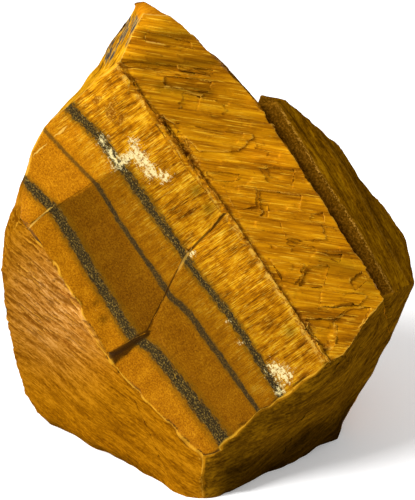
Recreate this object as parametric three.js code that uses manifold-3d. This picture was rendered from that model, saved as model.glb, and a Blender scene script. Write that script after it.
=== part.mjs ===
// A raw chunk of tiger's eye, about 75 mm tall, as one solid.
//
// It stands on a flat base. Its broken front leans back, and two flat breaks meet on it along
// a slanting ridge: the banded face on the left and the fibrous face on the right. Below them
// the two side breaks undercut the front and meet in one upright corner at the foot. A thick
// slab of the same stone steps back along the right side, and a narrow break runs down the
// left of the peak.
//
// Millimetres, +Z up, the front faces -Y. The origin ends up under the middle of the stone.

import * as THREE from 'three';
import { ConvexGeometry } from 'three/addons/geometries/ConvexGeometry.js';
import { ImprovedNoise } from 'three/addons/math/ImprovedNoise.js';
import { mergeVertices } from 'three/addons/utils/BufferGeometryUtils.js';
import Module from 'manifold-3d';

const wasm = await Module();
wasm.setup();

// ---- driving sizes ----

const LEAN = THREE.MathUtils.degToRad(30); // how far the front leans back from upright
const FRONT_FACET = 3.6; // longest facet edge of the finished stone, on the front
const BACK_FACET = 5.5; // and at the back
const CLEAR = 4; // how far a cut reaches out past the surface it opens
const WELD = 0.02; // corners closer than this are one
const PROUD = 0.3; // how much is left on a face that is cut back level

// Where the banded and the fibrous face meet at the lower end of the ridge.
const RIDGE_END = { across: 20.5, up: 23.2, out: 9.9 };

// How fast each front face rises outward, per millimetre across to the right and up the slope.
const BANDED_RISE = { across: 0.163, up: 0.082 };
const FIBROUS_RISE = { across: -0.225, up: -0.201 };

// ---- places ----

// A place on or near the leaning front: across to the right, up the slope, and out from it,
// measured from the foot of the front corner.
function onFront(across, up, out) {
  return new THREE.Vector3(
    across,
    up * Math.sin(LEAN) - out * Math.cos(LEAN),
    up * Math.cos(LEAN) + out * Math.sin(LEAN),
  );
}

function onFace(rise, across, up, proud) {
  const out = RIDGE_END.out
    + rise.across * (across - RIDGE_END.across)
    + rise.up * (up - RIDGE_END.up);
  return onFront(across, up, out + proud);
}

// A place on the banded face, or proud of it.
function onBanded(across, up, proud = 0) {
  return onFace(BANDED_RISE, across, up, proud);
}

// A place on the fibrous face, or proud of it.
function onFibrous(across, up, proud = 0) {
  return onFace(FIBROUS_RISE, across, up, proud);
}

// A place on the hidden back or the base, by its upright place from the same foot.
function behind(across, back, height) {
  return new THREE.Vector3(across, back, height);
}

// ---- the main block ----

const foot = behind(-0.3, 0, 0);
const frontCorner = onFront(-0.2, 7.0, 5.1);

// The ridge between the two front faces, from its lower end to the peak.
const ridge = [
  [20.5, 23.2],
  [13.3, 34.4],
  [4.0, 48.2],
  [-6.7, 62.8],
  [-14.4, 72.8],
];

const bandedCorners = [
  onBanded(-23.5, 66.2, -0.5),
  onBanded(-27.1, 62.7, -0.5),
  onBanded(-29.1, 58.8, -0.4),
  onBanded(-30.2, 54.4, -0.3),
  onFront(-31.4, 47.6, 2.8),
  onFront(-29.3, 46.2, 3.9),
  onFront(-15.6, 22.7, 2.4),
];

// They stand proud, because the fibrous face is cut back level afterwards.
const fibrousCorners = [
  onFibrous(23.4, 24.8, PROUD),
  onFibrous(29.9, 34.1, PROUD),
  onFibrous(16.0, 56.0, PROUD),
  onFibrous(9.6, 65.2, PROUD),
  onFibrous(8.1, 67.4, PROUD),
  onFibrous(0.5, 75.7, PROUD),
  onFibrous(-2.7, 79.0, PROUD),
];

const peakCorners = [
  onFibrous(-11.7, 77.5, PROUD),
  onFibrous(-10.2, 81.4, PROUD),
  onFront(-5.8, 81.3, 4.2),
  onFront(-10.0, 84.4, 3.0),
  onFront(-12.2, 84.2, 2.6),
  onFront(-13.8, 81.2, 1.5),
];

const leftSide = [
  onFront(-31.4, 53.2, 0.2),
  onFront(-33.0, 49.2, -3.5),
  onFront(-34.2, 45.8, -6.8),
  onFront(-35.1, 38.5, -7.7),
  onFront(-35.2, 33.6, -9.8),
  onFront(-33.7, 23.5, -16.0),
  onFront(-31.7, 16.8, -18.2),
  onFront(-30.0, 13.6, -19.0),
];

// The lower right break runs back from the nose, down to the base.
const rightSide = [
  onFront(31.8, 26.9, -10.3),
  onFront(26.3, 14.8, -14.2),
];

const baseCorners = [
  behind(-27.4, 22.4, 0),
  behind(-25.0, 35.0, 0),
  behind(-14.0, 46.0, 0),
  behind(16.0, 47.0, 0),
  behind(24.5, 33.0, 0),
  behind(23.2, 17.7, 0),
  behind(11.5, 7.4, 0),
  behind(4.3, 1.6, 0),
  behind(2.6, 0.6, 0),
  behind(-3.1, 0.6, 0),
  behind(-5.1, 2.0, 0),
];

const backCorners = [
  behind(-7.0, 44.0, 61.0),
  behind(8.0, 47.0, 50.0),
  behind(-25.0, 40.0, 39.0),
  behind(-30.0, 36.0, 21.0),
  behind(-20.0, 46.0, 9.0),
  behind(0, 51.0, 24.0),
];

const mainBlock = [
  foot,
  frontCorner,
  ...ridge.map(([across, up]) => onBanded(across, up)),
  ...bandedCorners,
  ...fibrousCorners,
  ...peakCorners,
  ...leftSide,
  ...rightSide,
  ...baseCorners,
  ...backCorners,
];

// ---- the slab along the right side ----

const slabBlock = [
  // its shelf, behind the edge of the fibrous face
  onFront(9.0, 66.5, 0.3),
  onFront(30.0, 34.2, 2.0),
  // its crest
  onFront(12.0, 66.8, 1.0),
  onFront(16.1, 60.6, 1.4),
  onFront(19.5, 55.0, 1.6),
  onFront(25.7, 45.7, 1.8),
  onFront(31.8, 34.7, 1.7),
  // the outline beyond the crest
  onFront(9.7, 67.9, -1.0),
  onFront(13.6, 67.2, -1.6),
  onFront(16.6, 64.9, -2.6),
  onFront(23.7, 59.2, -5.1),
  onFront(31.1, 49.4, -7.1),
  onFront(34.4, 43.4, -8.5),
  onFront(36.8, 36.6, -9.0),
  onFront(36.5, 34.8, -8.9),
  onFront(34.4, 32.4, -8.7),
  onFront(31.8, 26.9, -10.3),
  // its hidden back
  behind(18.0, 41.0, 48.0),
  behind(25.0, 44.0, 28.0),
  behind(22.0, 38.0, 6.0),
  behind(8.0, 30.0, 20.0),
];

// ---- solids ----

function toManifold(geometry) {
  const bare = geometry.clone();
  bare.deleteAttribute('normal');
  if (bare.hasAttribute('uv')) {
    bare.deleteAttribute('uv');
  }
  const merged = mergeVertices(bare, 1e-5);
  return new wasm.Manifold(new wasm.Mesh({
    numProp: 3,
    vertProperties: Float32Array.from(merged.attributes.position.array),
    triVerts: Uint32Array.from(merged.index.array),
  }));
}

function block(corners) {
  return toManifold(new ConvexGeometry(corners));
}

function toGeometry(solid) {
  const mesh = solid.getMesh();
  const geometry = new THREE.BufferGeometry();
  geometry.setAttribute('position', new THREE.BufferAttribute(mesh.vertProperties, 3));
  geometry.setIndex(new THREE.BufferAttribute(mesh.triVerts, 1));
  return geometry;
}

// ---- cuts and steps on the front ----

// The fibrous face lies a little lower than the banded one along the ridge. This is all that
// is cut away in front of it, which is everything but the stone to the left of the ridge.
function fibrousCut() {
  const inFront = [[-80, -20], [80, -20], [80, 120], [-80, 120]].flatMap(([across, up]) => [
    onFibrous(across, up),
    onFibrous(across, up, 60),
  ]);
  const keptOutline = [[31, 7], ...ridge.slice(1, 4), [-28, 91.5], [-80, 100], [-80, 0]];
  const kept = keptOutline.flatMap(([across, up]) => [
    onFront(across, up, -60),
    onFront(across, up, 60),
  ]);
  return block(inFront).subtract(block(kept));
}

// A hollow cut down to a floor of corners on the banded face, each with its own depth. Its
// walls stand upright on that face unless it opens out to other corners.
function hollow(floor, opening = floor) {
  return block([
    ...floor.map(([across, up, depth]) => onBanded(across, up, -depth)),
    ...opening.map(([across, up]) => onBanded(across, up, CLEAR)),
  ]);
}

// The lower part of the banded face, under the slanting crack, is turned a little to the left.
function lowerFace() {
  return block([
    onFront(-24.0, 24.0, -0.3),
    onFront(-15.6, 22.7, 2.4),
    onFront(-8.7, 30.2, 5.5),
    onFront(-14.0, 36.0, 4.6),
    onFront(-0.2, 7.0, 5.1),
    onFront(-8.0, 1.0, 1.6),
    onFront(-24.0, 26.0, 9.0),
    onFront(-10.0, 36.0, 9.0),
    onFront(-6.0, 2.0, 9.0),
    onFront(3.0, 9.0, 9.0),
  ]);
}

// The middle part stands proud of it, and ends there in a small cliff.
function middleBlock() {
  return block([
    // the edge to the left side break, and the top of the cliff
    onBanded(-29.0, 45.6, 0.2),
    onBanded(-16.3, 24.2, 0.07),
    onBanded(-9.9, 28.4, 0.07),
    onBanded(-8.3, 31.4, 0.07),
    onBanded(-12.0, 46.0, 0.07),
    // the foot of the cliff, just under the lower part
    onFront(-15.2, 22.4, 2.0),
    onFront(-9.5, 27.0, 4.4),
    // down the left side break
    onFront(-22.5, 30.0, -2.2),
    // inside the stone
    onFront(-15.0, 32.0, -3.0),
    onFront(-9.0, 34.0, 2.0),
  ]);
}

// The middle part is scooped out below its upper crease. The scoop ends at the slanting
// crack, in a small step up.
function scoop() {
  return hollow(
    [
      [-29.6, 46.3, -0.1],
      [-14.6, 56.0, -0.1],
      [-8.7, 48.7, 0.6],
      [-3.2, 42.3, 0.7],
      [-5.3, 37.2, 0.3],
      [-9.7, 28.3, 0.05],
      [-16.5, 24.6, -0.02],
      [-21.0, 44.5, 1.0],
      [-12.5, 50.8, 1.0],
      [-16.8, 35.3, 1.0],
    ],
    [
      [-29.6, 46.3],
      [-14.6, 56.0],
      [0, 39.0],
      [-3.0, 34.5],
      [-9.7, 28.3],
      [-16.5, 24.6],
    ],
  );
}

// The scoop runs on, shallower, over the strip of fibres beside the ridge.
function fibreDip() {
  return hollow(
    [
      [-14.9, 56.1, -0.1],
      [-14.6, 71.6, -0.1],
      [2.6, 48.3, 0.15],
      [-0.4, 44.9, 0.6],
      [-3.1, 42.2, 0.69],
      [-8.8, 48.6, 0.59],
    ],
    [
      [-14.9, 56.1],
      [-14.6, 71.6],
      [5.8, 45.2],
      [0.1, 38.9],
    ],
  );
}

// The side of the peak and the slope under it form one hollow break.
function leftBreak() {
  return block([
    onFront(-10.2, 81.9, 6.3),
    onFront(-14.4, 72.8, 7.9),
    onFront(-29.0, 61.4, 4.7),
    onFront(-12.4, 85.2, 1.4),
    onFront(-16.9, 72.2, 0.9),
    onFront(-30.6, 60.2, 0.4),
    onFront(-12.0, 75.0, 14.0),
    onFront(-24.0, 76.8, 14.0),
    onFront(-22.8, 79.0, -7.5),
    onFront(-31.0, 68.6, 10.0),
    onFront(-31.8, 69.5, -10.0),
  ]);
}

// ---- the broken fibres of the right-hand face ----

// Flat hollows where splinters have come away: corners across and up, each with its depth.
const splinterHollows = [
  // under the peak
  [[-10.0, 78.6, 0.05], [-2.4, 77.2, 0.3], [-2.2, 76.0, 0.3], [-10.0, 77.0, 0.1]],
  [[-13.6, 73.6, 0], [1.4, 72.3, 0.35], [1.0, 71.2, 0.05], [-13.0, 72.4, 0.2]],
  [[-6.9, 71.3, 0.5], [1.2, 70.4, 0.25], [0.6, 68.8, 0.1], [-6.9, 69.4, 0.55]],
  [[-3.5, 68.4, 0.1], [-0.8, 67.8, 0.4], [-1.4, 65.4, 0.1], [-4.6, 65.7, 0.35]],
  // beside the upper ridge
  [[-7.2, 64.3, 0.3], [-5.4, 63.2, 0.1], [-1.9, 58.4, 0.2], [-3.0, 57.6, 0.6]],
  // across the middle
  [[0.8, 55.1, 0.05], [5.8, 54.7, 0.4], [5.2, 53.6, 0.1], [1.2, 53.6, 0.1]],
  [[9.2, 55.8, 0.1], [15.0, 55.6, 0.5], [14.6, 52.6, 0.1], [10.6, 53.4, 0.5]],
  [[8.9, 52.2, 0.5], [16.2, 51.3, 0.3], [15.8, 48.4, 0], [9.4, 48.8, 0.35]],
  [[9.5, 49.6, 0.4], [10.6, 49.6, 0.5], [10.4, 47.4, 0.2], [9.0, 47.6, 0.5]],
  [[17.6, 48.2, 0.1], [20.0, 48.4, 0.6], [20.2, 46.4, 0.2], [17.8, 46.8, 0.1]],
  // the lower half
  [[13.6, 43.8, 0.1], [23.2, 41.3, 0.5], [22.4, 39.9, 0.1], [14.0, 42.8, 0.1]],
  [[17.2, 39.4, 0.5], [20.8, 39.3, 0.35], [19.8, 36.0, 0.05], [15.7, 35.8, 0.5]],
  [[24.3, 36.6, 0.5], [26.4, 38.4, 0.4], [27.2, 37.0, 0.1], [25.2, 35.2, 0.1]],
  [[17.0, 30.7, 0.6], [21.9, 30.4, 0.6], [21.4, 26.0, 0], [19.6, 25.0, 0.5]],
  [[21.7, 30.4, 0.6], [24.2, 32.2, 0.5], [28.0, 32.4, 0.3], [26.0, 28.8, 0], [22.0, 26.8, 0]],
];

// Flat splinters that still stand proud, with the height of each corner.
const splinters = [
  [[-5.4, 63.1, 0.1], [8.0, 61.4, 0.35], [5.4, 58.6, 0.45], [-0.8, 58.5, 0.35]],
  [[-4.6, 73.0, 0.3], [1.6, 71.7, 0], [1.4, 71.2, 0], [-4.4, 72.2, 0.25]],
  [[3.0, 52.6, 0.05], [8.7, 52.4, 0.3], [8.5, 49.2, 0.35], [5.0, 48.9, 0.1]],
  [[12.4, 47.2, 0], [19.4, 46.2, 0.35], [20.4, 43.6, 0.4], [13.6, 44.0, 0.2]],
  [[10.6, 40.6, 0.1], [16.6, 39.6, 0.4], [15.2, 36.2, 0.35], [12.8, 36.8, 0.1]],
  [[19.4, 35.0, 0.05], [27.0, 34.6, 0.3], [26.2, 32.9, 0.35], [19.0, 32.2, 0.25]],
];

function splinterHollow(corners) {
  return block(corners.flatMap(([across, up, depth]) => [
    onFibrous(across, up, -depth),
    onFibrous(across, up, CLEAR),
  ]));
}

function splinter(corners) {
  return block(corners.flatMap(([across, up, height]) => [
    onFibrous(across, up, height),
    onFibrous(across, up, -1),
  ]));
}

// ---- the whole stone ----

function carve(solid, cuts) {
  return cuts.reduce((left, cut) => left.subtract(cut), solid);
}

function join(solid, pieces) {
  return pieces.reduce((sum, piece) => sum.add(piece), solid);
}

function stoneSolid() {
  const main = carve(block(mainBlock), [fibrousCut(), lowerFace()]);
  const banded = carve(main.add(middleBlock()), [scoop(), fibreDip(), leftBreak()]);
  const fibrous = carve(banded, splinterHollows.map(splinterHollow));
  return join(fibrous, [...splinters.map(splinter), block(slabBlock)]);
}

// ---- the broken surface ----

// The longest facet edge allowed at a point: small in front, larger behind.
function facetLimit(point) {
  const behindness = THREE.MathUtils.smoothstep(point.y, 14, 30);
  return THREE.MathUtils.lerp(FRONT_FACET, BACK_FACET, behindness);
}

// How much too long the edge is between two corners.
function excess(from, to) {
  const middle = from.clone().add(to).multiplyScalar(0.5);
  return from.distanceTo(to) / facetLimit(middle);
}

// Halves the edges that are too long, the worst first. Neighbours halve a shared edge at the
// same point, so the surface stays closed.
function refine(geometry) {
  const bare = geometry.toNonIndexed();
  const corners = bare.attributes.position;
  const waiting = [];
  for (let i = 0; i < corners.count; i += 3) {
    waiting.push([0, 1, 2].map((k) => new THREE.Vector3().fromBufferAttribute(corners, i + k)));
  }
  const done = [];
  while (waiting.length > 0) {
    const [a, b, c] = waiting.pop();
    const turns = [[a, b, c], [b, c, a], [c, a, b]];
    turns.sort((p, q) => excess(q[0], q[1]) - excess(p[0], p[1]));
    const [from, to, apex] = turns[0];
    if (excess(from, to) <= 1) {
      done.push(a, b, c);
    } else {
      const middle = from.clone().add(to).multiplyScalar(0.5);
      waiting.push([from, middle, apex], [middle, to, apex]);
    }
  }
  return weld(new THREE.BufferGeometry().setFromPoints(done));
}

// Joins corners that lie closer than WELD. Facets that this closes up are dropped, and so are
// pairs that it lays on one another.
function weld(geometry) {
  const merged = mergeVertices(geometry, WELD);
  const kept = new Map();
  for (let i = 0; i < merged.index.count; i += 3) {
    const facet = [0, 1, 2].map((k) => merged.index.getX(i + k));
    const key = [...facet].sort((a, b) => a - b).join();
    if (kept.has(key)) {
      kept.delete(key);
    } else if (new Set(facet).size === 3) {
      kept.set(key, facet);
    }
  }
  merged.setIndex([...kept.values()].flat());
  return merged;
}

const noise = new ImprovedNoise();
const frontNormal = onFront(0, 0, 1).normalize();

// The grain of the side breaks runs down to the right.
const breakGrain = onFront(0.78, -0.62, 0.1).normalize();

// A wave over the surface, longer along the grain of the break than across it.
function wave(point, alongSize, acrossSize, seed) {
  const along = point.dot(breakGrain);
  const rest = point.clone().addScaledVector(breakGrain, -along);
  rest.divideScalar(acrossSize).addScaledVector(breakGrain, along / alongSize);
  return noise.noise(rest.x + seed, rest.y + 2 * seed, rest.z - seed);
}

// How far the break stands out at a point. The front faces are nearly flat, the sides and the
// back are rougher, and the base stays flat.
function roughness(point, facing) {
  const height = THREE.MathUtils.lerp(1.0, 0.1, THREE.MathUtils.smoothstep(facing, 0.72, 0.85));
  const fade = THREE.MathUtils.smoothstep(point.z, 0.1, 4);
  return height * fade * (wave(point, 20, 9, 3.7) + 0.5 * wave(point, 10, 4.5, 11.3));
}

// How squarely the most forward of the facets round each corner faces the front.
function facings(geometry) {
  const positions = geometry.attributes.position;
  const best = new Float32Array(positions.count).fill(-1);
  const triangle = new THREE.Triangle();
  const normal = new THREE.Vector3();
  for (let i = 0; i < geometry.index.count; i += 3) {
    const corners = [0, 1, 2].map((k) => geometry.index.getX(i + k));
    triangle.setFromAttributeAndIndices(positions, ...corners);
    const facing = triangle.getNormal(normal).dot(frontNormal);
    for (const corner of corners) {
      best[corner] = Math.max(best[corner], facing);
    }
  }
  return best;
}

function roughen(geometry) {
  geometry.computeVertexNormals();
  const positions = geometry.attributes.position;
  const facing = facings(geometry);
  for (let i = 0; i < positions.count; i += 1) {
    const point = new THREE.Vector3().fromBufferAttribute(positions, i);
    const normal = new THREE.Vector3().fromBufferAttribute(geometry.attributes.normal, i);
    point.addScaledVector(normal, roughness(point, facing[i]));
    positions.setXYZ(i, point.x, point.y, point.z);
  }
  geometry.deleteAttribute('normal');
  return geometry;
}

const geometry = roughen(refine(toGeometry(stoneSolid())));
geometry.computeBoundingBox();
const box = geometry.boundingBox;
geometry.translate(
  -(box.min.x + box.max.x) / 2,
  -(box.min.y + box.max.y) / 2,
  -box.min.z,
);
geometry.computeVertexNormals();

const stone = new THREE.Mesh(
  geometry,
  new THREE.MeshStandardMaterial({ color: 0xa8680c, roughness: 0.55, metalness: 0 }),
);
stone.name = 'stone';

const group = new THREE.Group();
group.name = 'raw_tiger_eye';
group.add(stone);

export default group;
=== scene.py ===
"""A raw chunk of tiger's eye, standing on a pale floor.

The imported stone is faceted. Here its surface is divided finely, smoothed where it is rough,
and given the splinters, fibres and pits of broken tiger's eye. Each break of the stone then
gets a material of its own.

Lengths in this file are millimetres unless a name says otherwise. Most of the work is done
in front coordinates: across to the right, up the leaning front, and out from it towards the
viewer, measured from the foot of the stone's front corner.
"""

import math

import bpy
import numpy as np
from mathutils import Matrix, Vector, noise


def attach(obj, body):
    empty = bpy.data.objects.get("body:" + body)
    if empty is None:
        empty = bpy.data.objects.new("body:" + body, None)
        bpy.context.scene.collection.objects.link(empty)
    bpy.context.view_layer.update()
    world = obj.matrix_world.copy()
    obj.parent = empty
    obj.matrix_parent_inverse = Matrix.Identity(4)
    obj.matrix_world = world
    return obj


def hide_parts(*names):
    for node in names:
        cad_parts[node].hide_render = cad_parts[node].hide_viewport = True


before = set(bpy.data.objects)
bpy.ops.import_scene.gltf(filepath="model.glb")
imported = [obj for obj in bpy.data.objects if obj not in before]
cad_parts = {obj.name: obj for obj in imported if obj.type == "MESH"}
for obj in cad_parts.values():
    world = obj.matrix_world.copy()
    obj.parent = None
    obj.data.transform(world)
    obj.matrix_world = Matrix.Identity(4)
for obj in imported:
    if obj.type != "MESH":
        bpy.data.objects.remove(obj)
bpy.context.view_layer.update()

MM = 0.001

# ---- the front coordinates ----

LEAN = math.radians(30)  # how far the front leans back from upright
FOOT = np.array([-0.588, -24.924, 0.0])  # the front corner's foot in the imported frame

# The front axes across, up and out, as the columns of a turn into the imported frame.
FRONT_AXES = np.array([
    [1, 0, 0],
    [0, math.sin(LEAN), -math.cos(LEAN)],
    [0, math.cos(LEAN), math.sin(LEAN)],
])


def to_front(points):
    """Front millimetres from packed-frame metres."""
    return (points / MM - FOOT) @ FRONT_AXES


def from_front(points):
    """Packed-frame metres from front millimetres."""
    return (points @ FRONT_AXES.T + FOOT) * MM


def floor_height(points):
    """How high points lie above the floor."""
    return from_front(points)[:, 2] / MM


# The two flat breaks of the front meet on the ridge. Each rises outward from its lower end.
RIDGE_END = (20.5, 23.2, 9.9)
BANDED_RISE = (0.163, 0.082)
FIBROUS_RISE = (-0.225, -0.201)


def out_on_break(across, up, rise):
    """How far out one of the two flat breaks lies at a place on the front."""
    return RIDGE_END[2] + rise[0] * (across - RIDGE_END[0]) + rise[1] * (up - RIDGE_END[1])


def height_over(points, rise):
    """How far points lie in front of one of the two flat breaks, along out."""
    return points[:, 2] - out_on_break(points[:, 0], points[:, 1], rise)


# ---- lines on the front ----

def side_of(points, line):
    """How far points lie from a line of several places, above 0 on its left as it is drawn."""
    nearest = np.full(len(points), np.inf)
    side = np.zeros(len(points))
    for (x0, y0), (x1, y1) in zip(line, line[1:]):
        dx, dy = x1 - x0, y1 - y0
        length = math.hypot(dx, dy)
        right, up = points[:, 0] - x0, points[:, 1] - y0
        share = np.clip((right * dx + up * dy) / (length * length), 0, 1)
        away = np.hypot(right - share * dx, up - share * dy)
        turned = (dx * up - dy * right) / length
        closer = away < nearest - 1e-9
        nearest[closer] = away[closer]
        side[closer] = np.where(turned[closer] > 0, 1, -1)
    return side * nearest


def near_line(points, line, width):
    """1 on a line on the front and 0 beyond width from it."""
    return np.clip(1 - np.abs(side_of(points, line)) / width, 0, 1)


def near_places(points, places):
    """1 at each place on the front, falling to 0 beyond it: across, up, and radius."""
    total = np.zeros(len(points))
    for across, up, radius in places:
        away = np.hypot(points[:, 0] - across, points[:, 1] - up) / radius
        total += np.exp(-away * away)
    return np.minimum(total, 1)


def fade(values, low, high):
    """0 below low, 1 above high, and smooth between."""
    share = np.clip((values - low) / (high - low), 0, 1)
    return share * share * (3 - 2 * share)


# ---- the regions of the stone ----

REGIONS = range(8)
BANDED, FIBROUS, LEFT, UNDER, SLAB, PEAK, BACK, BASE = REGIONS

# Which way each region faces, in front coordinates and in the order of REGIONS.
FACING = {
    BANDED: (-0.16, -0.08, 0.98),
    FIBROUS: (0.22, 0.20, 0.96),
    LEFT: (-0.63, -0.41, 0.66),
    UNDER: (0.60, -0.65, 0.47),
    SLAB: (0.65, 0.40, 0.65),
    PEAK: (-0.72, 0.50, 0.48),
    BACK: (0.0, 0.4, -0.9),
}

# The longest triangle edge on each region of the finished surface.
EDGE = {
    BANDED: 0.38, FIBROUS: 0.28, LEFT: 0.36, UNDER: 0.52,
    SLAB: 0.48, PEAK: 0.40, BACK: 1.1, BASE: 2.5,
}

# The right-hand edge of the fibrous face, going down, and on past both of its ends.
FIBROUS_EDGE = [(-13.7, 100.7), (51.7, 0.8)]

# The upper edge of the break under the front, from the front corner to the right.
UNDER_EDGE = [
    (-0.2, 7.2), (2.9, 8.6), (6.0, 10.6), (8.6, 14.0),
    (14.9, 19.8), (20.5, 23.0), (25.8, 27.0), (29.9, 34.1),
]

# The edge between the banded face and the left break, from its upper to its lower end.
LEFT_EDGE = [
    (-29.6, 44.7), (-26.2, 39.5), (-18.9, 28.5), (-16.0, 23.9), (-11.8, 18.6), (-0.2, 6.7),
]

TOP_EDGE = 81.6  # how far up the fibrous face ends, under the small facet on top of the peak
FRONT_DEPTH = 3.2  # how far behind both flat breaks a facet of the banded face may lie
RIDGE_PLAY = 0.3  # how far past the ridge a facet of either flat break may lie
BASE_HEIGHT = 0.05  # how high above the floor a facet of the base may lie


def unit(vectors, least=1e-12):
    """Vectors brought to a length of 1. Those shorter than least stay shorter."""
    return vectors / np.maximum(np.linalg.norm(vectors, axis=1), least)[:, None]


def facet_crosses(points, facets):
    """The normal of each facet, as long as twice its area."""
    corners = points[facets]
    return np.cross(corners[:, 1] - corners[:, 0], corners[:, 2] - corners[:, 0])


def regions(points, facets):
    """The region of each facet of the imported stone, from where it lies and how it faces."""
    middle = points[facets].mean(1)
    across, up, out = middle.T
    normal = unit(facet_crosses(points, facets))
    towards_viewer = normal[:, 2]
    over_banded = height_over(middle, BANDED_RISE)
    over_fibrous = height_over(middle, FIBROUS_RISE)
    past_fibrous_edge = side_of(middle, FIBROUS_EDGE)
    past_left_edge = side_of(middle, LEFT_EDGE)
    in_front = (towards_viewer > 0.5) & (np.maximum(over_banded, over_fibrous) > -FRONT_DEPTH)
    allowed = {
        BANDED: in_front & (over_banded > over_fibrous - RIDGE_PLAY),
        FIBROUS: (past_fibrous_edge < 0.2)
        & (over_fibrous > np.maximum(over_banded - RIDGE_PLAY, -1.2)),
        LEFT: (across < 1) & (past_left_edge < 0.5),
        UNDER: (across > -1.5) & (up < 36) & (towards_viewer > 0.1),
        SLAB: (past_fibrous_edge > -1) & (towards_viewer > 0.1),
        PEAK: (across < -5) & (up > 56),
        BACK: towards_viewer < 0.4,
    }
    likeness = np.stack([
        np.where(allowed[kind], normal @ np.array(facing), -2) for kind, facing in FACING.items()
    ])
    region = np.where(likeness.max(0) > -2, likeness.argmax(0), BACK)
    # Small facets near the borders can face like another break than the one they belong to.
    by_cliff = (across > -17) & (across < -7) & (up > 20) & (up < 34)
    flat = allowed[BANDED] & (over_banded > -2.6) & (towards_viewer > 0.7)
    region[flat & by_cliff] = BANDED
    below = (across > 0.2) & (side_of(middle, UNDER_EDGE) < -0.5)
    region[(region == BANDED) & below] = UNDER
    beside = (across < 0) & (up < 40) & (past_left_edge < -0.8)
    region[(region == BANDED) & beside] = LEFT
    region[(region == BACK) & (across > 0) & (up < 30) & (out > 1)] = UNDER
    region[(region == FIBROUS) & (up > TOP_EDGE)] = PEAK
    near_peak = allowed[PEAK] & (out > -7) & (normal @ np.array(FACING[PEAK]) > 0.2)
    region[(region == BACK) & near_peak] = PEAK
    region[floor_height(middle) < BASE_HEIGHT] = BASE
    return region


# ---- dividing and smoothing ----

SAME_CORNER = 1e-4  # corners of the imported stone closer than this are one
SAME_POINT = 1e-6  # the same for points of the divided surface
SHARP = math.radians(38)  # edges that turn by more than this are left sharp
SMOOTHING = (0.62, -0.66) * 4  # evens the surface out and pushes it back, four times


def stone_facets():
    """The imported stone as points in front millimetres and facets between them."""
    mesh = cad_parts["stone"].data
    points = np.empty(len(mesh.vertices) * 3)
    mesh.vertices.foreach_get("co", points)
    mesh.calc_loop_triangles()
    facets = np.empty(len(mesh.loop_triangles) * 3, np.int64)
    mesh.loop_triangles.foreach_get("vertices", facets)
    return join_points(to_front(points.reshape(-1, 3)), facets.reshape(-1, 3), SAME_CORNER)


def join_points(points, facets, apart):
    """Joins points closer than about apart. The other columns of a point ride along."""
    keys = np.round(points[:, :3] / apart).astype(np.int64)
    _, first, joined = np.unique(keys, axis=0, return_index=True, return_inverse=True)
    return points[first], joined.reshape(-1)[facets]


def divide(points, facets, region, scale):
    """Halves every edge that is longer than scale times its region's limit."""
    limit = np.full(len(points), np.inf)
    for kind, edge in EDGE.items():
        used = np.unique(facets[region == kind])
        limit[used] = np.minimum(limit[used], edge * scale)
    corners = np.column_stack([points, limit])[facets]
    done = []
    while len(corners):
        ends = np.roll(corners, -1, axis=1)
        length = np.linalg.norm(ends[:, :, :3] - corners[:, :, :3], axis=2)
        excess = length / ((ends[:, :, 3] + corners[:, :, 3]) / 2)
        worst = excess.argmax(1)
        split = excess.max(1) > 1
        done.append((corners[~split], region[~split]))
        corners, region, worst = corners[split], region[split], worst[split]
        each = np.arange(len(corners))
        start, end = corners[each, worst], corners[each, (worst + 1) % 3]
        apex = corners[each, (worst + 2) % 3]
        middle = (start + end) / 2
        corners = np.concatenate([
            np.stack([start, middle, apex], axis=1),
            np.stack([middle, end, apex], axis=1),
        ])
        region = np.concatenate([region, region])
    corners, region = (np.concatenate(parts) for parts in zip(*done))
    soup = corners[:, :, :3].reshape(-1, 3)
    points, facets = join_points(soup, np.arange(len(soup)).reshape(-1, 3), SAME_POINT)
    return points, facets, region


def edges_of(facets):
    """Every edge once in each direction."""
    return np.concatenate([facets[:, [0, 1]], facets[:, [1, 2]], facets[:, [2, 0]]])


def around(values, edges):
    """The mean of each point's neighbours, for values with any number of columns."""
    columns = values.reshape(len(values), -1)
    count = np.bincount(edges[:, 0], minlength=len(columns))
    sums = [
        np.bincount(edges[:, 0], weights=column[edges[:, 1]], minlength=len(columns))
        for column in columns.T
    ]
    return (np.stack(sums, axis=1) / np.maximum(count, 1)[:, None]).reshape(values.shape)


def facet_sums(values, facets, count):
    """The sum of the values of the facets around each of count points."""
    return np.bincount(facets.ravel(), weights=np.repeat(values, 3), minlength=count)


def point_normals(points, facets):
    """The surface's direction at each point, where larger facets count for more."""
    crosses = facet_crosses(points, facets)
    return unit(np.stack([facet_sums(part, facets, len(points)) for part in crosses.T], axis=1))


def held_points(points, facets, region):
    """Points that smoothing leaves alone: the front faces, the base and the sharp edges."""
    held = np.zeros(len(points), bool)
    held[facets[np.isin(region, (BANDED, FIBROUS, BASE))]] = True
    normal = unit(facet_crosses(points, facets))
    edges = np.sort(edges_of(facets), axis=1)
    owner = np.tile(np.arange(len(facets)), 3)
    order = np.lexsort((edges[:, 1], edges[:, 0]))
    one, two = order[0::2], order[1::2]
    bend = (normal[owner[one]] * normal[owner[two]]).sum(1)
    held[edges[one[bend < math.cos(SHARP)]]] = True
    return held


def smooth(points, facets, region):
    """Evens out the surface, apart from its held points, without shrinking the stone."""
    free = ~held_points(points, facets, region)[:, None]
    edges = edges_of(facets)
    for share in SMOOTHING:
        points = np.where(free, points + share * (around(points, edges) - points), points)
    return points


# ---- the grain of each region ----

def grain(along, rise):
    """Unit axes along the grain, across it in the face, and out of the face."""
    along = np.array([*along, rise[0] * along[0] + rise[1] * along[1]])
    out = np.array([-rise[0], -rise[1], 1.0])
    along, out = unit(np.stack([along, out]))
    return np.stack([along, np.cross(out, along), out])


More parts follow.
